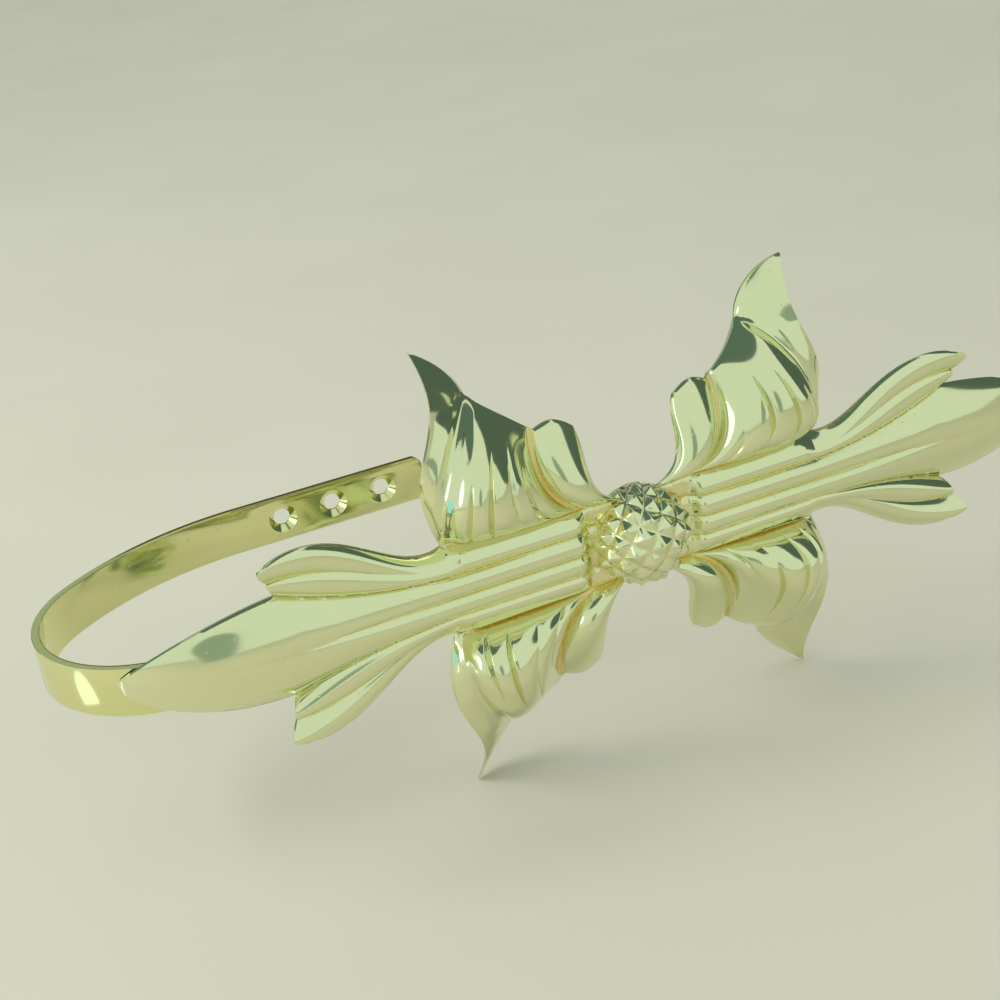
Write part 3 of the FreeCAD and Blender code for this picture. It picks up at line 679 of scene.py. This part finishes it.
def add(tree, kind, links=None, **settings):
    """Add a node, with its settings, and its inputs as links or values."""
    node = tree.nodes.new(kind)
    for name, value in settings.items():
        setattr(node, name, value)
    for name, source in (links or {}).items():
        socket = node.inputs[name]
        if isinstance(source, bpy.types.NodeSocket):
            tree.links.new(source, socket)
        else:
            socket.default_value = source
    return node


def blank(name):
    """A new material with an empty tree."""
    material = bpy.data.materials.new(name)
    material.use_nodes = True
    material.node_tree.nodes.clear()
    return material, material.node_tree


def per_metre(size_mm):
    """A pattern's scale on coordinates in metres, from its real size in millimetres."""
    return 1000.0 / size_mm


# %% Lacquered brass, pressed and buffed
def scratches(tree, place, turn, length_mm, width_mm, share):
    """Hair scratches in one direction: 1 where one lies and 0 elsewhere."""
    stretched = add(tree, "ShaderNodeMapping", {
        "Vector": place, "Rotation": turn,
        "Scale": (per_metre(width_mm), per_metre(length_mm), per_metre(width_mm))})
    lines = add(tree, "ShaderNodeTexNoise", {
        "Vector": stretched.outputs["Vector"], "Scale": 1.0, "Detail": 1.0})
    return add(tree, "ShaderNodeMapRange", {
        "Value": lines.outputs["Fac"], "From Min": share, "From Max": share + 0.04})


def lacquered_brass(name, polished, hollow_reflection_gold, wave_mm, wave_height):
    """Brass with copper and about a third of zinc, under clear lacquer."""
    material, tree = blank(name)
    place = add(tree, "ShaderNodeTexCoord").outputs["Object"]
    hollows = add(tree, "ShaderNodeAttribute", attribute_name="hollow",
                  attribute_type="GEOMETRY").outputs["Fac"]
    cloud = add(tree, "ShaderNodeTexNoise", {
        "Vector": place, "Scale": per_metre(18), "Detail": 3.0})
    broken = add(tree, "ShaderNodeTexNoise", {
        "Vector": place, "Scale": per_metre(0.9), "Detail": 2.0})
    ragged = add(tree, "ShaderNodeMath", {0: hollows, 1: broken.outputs["Fac"]},
                 operation="MULTIPLY")
    edge = add(tree, "ShaderNodeMapRange", {
        "Value": ragged.outputs["Value"], "From Min": 0.12, "From Max": 0.42})
    tint = add(tree, "ShaderNodeMix", {
        "Factor": cloud.outputs["Fac"], 6: colour(polished[0]), 7: colour(polished[1])},
        data_type="RGBA")
    # Painted reflection: in the hollows the base colour turns a deeper gold, standing for light
    # bouncing inside them.
    base = add(tree, "ShaderNodeMix", {
        "Factor": edge.outputs["Result"], 6: tint.outputs[2], 7: colour(hollow_reflection_gold)},
        data_type="RGBA")
    hair = scratches(tree, place, (0.3, 0.9, 0.5), 14.0, 0.22, 0.70)
    cross = scratches(tree, place, (1.1, 0.2, 2.1), 10.0, 0.18, 0.72)
    pits = add(tree, "ShaderNodeTexVoronoi", {"Vector": place, "Scale": per_metre(2.6)})
    pit = add(tree, "ShaderNodeMapRange", {
        "Value": pits.outputs["Distance"], "From Min": 0.05, "From Max": 0.11,
        "To Min": 1.0, "To Max": 0.0})
    worn = add(tree, "ShaderNodeMath", {
        0: hair.outputs["Result"], 1: cross.outputs["Result"]}, operation="MAXIMUM")
    roughness = add(tree, "ShaderNodeMath", {
        0: worn.outputs["Value"], 1: 0.05, 2: 0.10}, operation="MULTIPLY_ADD")
    roughness = add(tree, "ShaderNodeMath", {
        0: edge.outputs["Result"], 1: 0.24, 2: roughness.outputs["Value"]},
        operation="MULTIPLY_ADD")
    waves = add(tree, "ShaderNodeTexNoise", {
        "Vector": place, "Scale": per_metre(wave_mm), "Detail": 1.0})
    grain = add(tree, "ShaderNodeTexNoise", {
        "Vector": place, "Scale": per_metre(0.35), "Detail": 3.0})
    relief = add(tree, "ShaderNodeBump", {
        "Height": waves.outputs["Fac"], "Distance": wave_height * MM, "Strength": 1.0})
    relief = add(tree, "ShaderNodeBump", {
        "Height": worn.outputs["Value"], "Distance": 0.004 * MM, "Strength": 0.6,
        "Normal": relief.outputs["Normal"]}, invert=True)
    relief = add(tree, "ShaderNodeBump", {
        "Height": pit.outputs["Result"], "Distance": 0.03 * MM, "Strength": 0.5,
        "Normal": relief.outputs["Normal"]}, invert=True)
    rough_cast = add(tree, "ShaderNodeMath", {
        0: grain.outputs["Fac"], 1: edge.outputs["Result"]}, operation="MULTIPLY")
    relief = add(tree, "ShaderNodeBump", {
        "Height": rough_cast.outputs["Value"], "Distance": 0.12 * MM, "Strength": 0.8,
        "Normal": relief.outputs["Normal"]})
    brass = add(tree, "ShaderNodeBsdfPrincipled", {
        "Base Color": base.outputs[2], "Metallic": 1.0,
        "Roughness": roughness.outputs["Value"], "Normal": relief.outputs["Normal"]})
    add(tree, "ShaderNodeOutputMaterial", {"Surface": brass.outputs["BSDF"]})
    return material


# The third colour of each brass is the painted reflection gold laid into its hollows.
pressed_brass = lacquered_brass("pressed_lacquered_brass", ("#ebecc4", "#e5e8ba"),
                                "#efdb94", 16.0, 0.05)
drawn_brass = lacquered_brass("drawn_lacquered_brass", ("#ebeab2", "#e2e1a2"),
                              "#cdb262", 22.0, 0.03)
turned_brass = lacquered_brass("turned_brass", ("#dccb80", "#d1bd6c"),
                               "#b8923f", 6.0, 0.02)
for piece, material in ((leaf_sheet, pressed_brass), (seed_boss, pressed_brass),
                        (strap, drawn_brass), (rivet_stud, turned_brass)):
    piece.data.materials.clear()
    piece.data.materials.append(material)

# %% [markdown]
# ## The room
#
# Polished metal is mostly a picture of the room round it.  The photograph was taken by
# daylight, with a window low on the left, a bright pale room and something dark on the
# right and overhead.  A pale world stands in for the room, and one soft lamp gives the
# floor its light.  Oval cards, which only reflections see, stand for the window, the dark
# parts and the person in front.

# %% Floor and world
floor_mesh = bmesh.new()
bmesh.ops.create_grid(floor_mesh, x_segments=1, y_segments=1, size=3.0)
bmesh.ops.translate(floor_mesh, vec=(0.05, 0.2, cad_low.z - 0.0005),
                    verts=floor_mesh.verts[:])
floor = plain_object(floor_mesh, "floor")
plaster, tree = blank("pale_floor")
speckle = add(tree, "ShaderNodeTexNoise", {
    "Vector": add(tree, "ShaderNodeTexCoord").outputs["Object"],
    "Scale": per_metre(120), "Detail": 2.0})
pale = add(tree, "ShaderNodeMix", {
    "Factor": speckle.outputs["Fac"], 6: colour("#d4cbc0"), 7: colour("#cbc2b6")},
    data_type="RGBA")
matt = add(tree, "ShaderNodeBsdfPrincipled", {
    "Base Color": pale.outputs[2], "Roughness": 0.85})
add(tree, "ShaderNodeOutputMaterial", {"Surface": matt.outputs["BSDF"]})
floor.data.materials.append(plaster)

world = bpy.data.worlds.new("pale_room")
bpy.context.scene.world = world
world.use_nodes = True
world.node_tree.nodes.clear()
room = add(world.node_tree, "ShaderNodeBackground", {
    "Color": colour("#e6f4e8"), "Strength": 0.9})
add(world.node_tree, "ShaderNodeOutputWorld", {"Surface": room.outputs["Background"]})

# %% One lamp, and the cards that only reflections see
OBJECT_MIDDLE = Vector((0.045, -0.06, 0.0))


def direction(azimuth, elevation):
    """A direction from the object: azimuth 0 is behind it, 90 to its right."""
    a, e = math.radians(azimuth), math.radians(elevation)
    return Vector((math.sin(a) * math.cos(e), math.cos(a) * math.cos(e), math.sin(e)))


def aimed(azimuth, elevation, distance, target=OBJECT_MIDDLE):
    """A place in that direction, turned so that local -Z looks at the target."""
    way = direction(azimuth, elevation)
    turn = way.to_track_quat("Z", "Y").to_matrix().to_4x4()
    return Matrix.Translation(target + way * distance) @ turn


def lamp(name, azimuth, elevation, distance, width, height, power, tint):
    data = bpy.data.lights.new(name, "AREA")
    data.shape = "RECTANGLE"
    data.size, data.size_y = width, height
    data.energy = power
    data.color = colour(tint)[:3]
    made = bpy.data.objects.new(name, data)
    made.matrix_world = aimed(azimuth, elevation, distance)
    made.visible_glossy = False
    bpy.context.scene.collection.objects.link(made)


def card(name, azimuth, elevation, distance, width, height, shade, strength=1.0,
         target=OBJECT_MIDDLE):
    """An oval card of this brightness that only reflections see."""
    mesh = bmesh.new()
    bmesh.ops.create_circle(mesh, segments=64, radius=0.5, cap_ends=True)
    bmesh.ops.scale(mesh, vec=(width, height, 1), verts=mesh.verts[:])
    bmesh.ops.transform(mesh, matrix=aimed(azimuth, elevation, distance, target),
                        verts=mesh.verts[:])
    made = plain_object(mesh, name)
    material, tree = blank(name)
    glow = add(tree, "ShaderNodeEmission", {"Color": colour(shade), "Strength": strength})
    add(tree, "ShaderNodeOutputMaterial", {"Surface": glow.outputs["Emission"]})
    made.data.materials.append(material)
    made.visible_camera = False
    made.visible_diffuse = False
    made.visible_shadow = False


lamp("sky_upper_left", -80, 42, 1.3, 0.9, 0.5, 9.0, "#f6fbf0")
STRAP_FRONT = Vector((-0.076, -0.059, -0.002))
card("window_left", -104, 17, 0.60, 0.19, 0.28, "#fbfffa", 2.2)
card("window_low", -77, -2, 0.36, 0.15, 0.11, "#a6e6f4", 1.1)
card("window_glint", -87, -29, 0.09, 0.03, 0.05, "#e9fbf0", 1.5, STRAP_FRONT)
card("dark_right", 85, 28, 0.8, 1.45, 1.05, "#54675f")
card("dark_overhead", -50, 78, 0.75, 1.1, 0.70, "#5d746e")
card("grey_behind", -36, 16, 0.6, 0.30, 0.44, "#748880")
card("brown_door", 12, 16, 0.6, 0.40, 0.30, "#5c4c33")
card("room_behind", 0, 34, 1.1, 2.2, 1.10, "#a6b3a4")
card("onlooker", -164, 10, 0.9, 0.30, 0.46, "#93a89a")

# %% [markdown]
# ## The camera
#
# The photographer stood in front and a little above, to the left of the ornament, with a
# phone held close and slightly turned.  The place and the turn were found from the
# ornament's own two mirror planes.

# %% Set up the camera
view_way = Vector((0.31694, 0.84861, -0.42357)).normalized()
view_right = Vector((0.90534, -0.40379, -0.13155)).normalized()
view_up = view_right.cross(view_way).normalized()
view_right = view_way.cross(view_up).normalized()
lens = bpy.data.cameras.new("phone")
lens.lens = 56.23
lens.sensor_width = 36.0
lens.sensor_fit = "HORIZONTAL"
lens.clip_start, lens.clip_end = 0.01, 20.0
camera = bpy.data.objects.new("phone", lens)
camera.matrix_world = Matrix.Translation(Vector((-91.0, -370.9, 170.4)) * MM) @ Matrix(
    (view_right, view_up, -view_way)).transposed().to_4x4()
bpy.context.scene.collection.objects.link(camera)
bpy.context.scene.camera = camera
# The Standard view lets bright reflections clip to white, as the photograph does.
bpy.context.scene.view_settings.view_transform = "Standard"
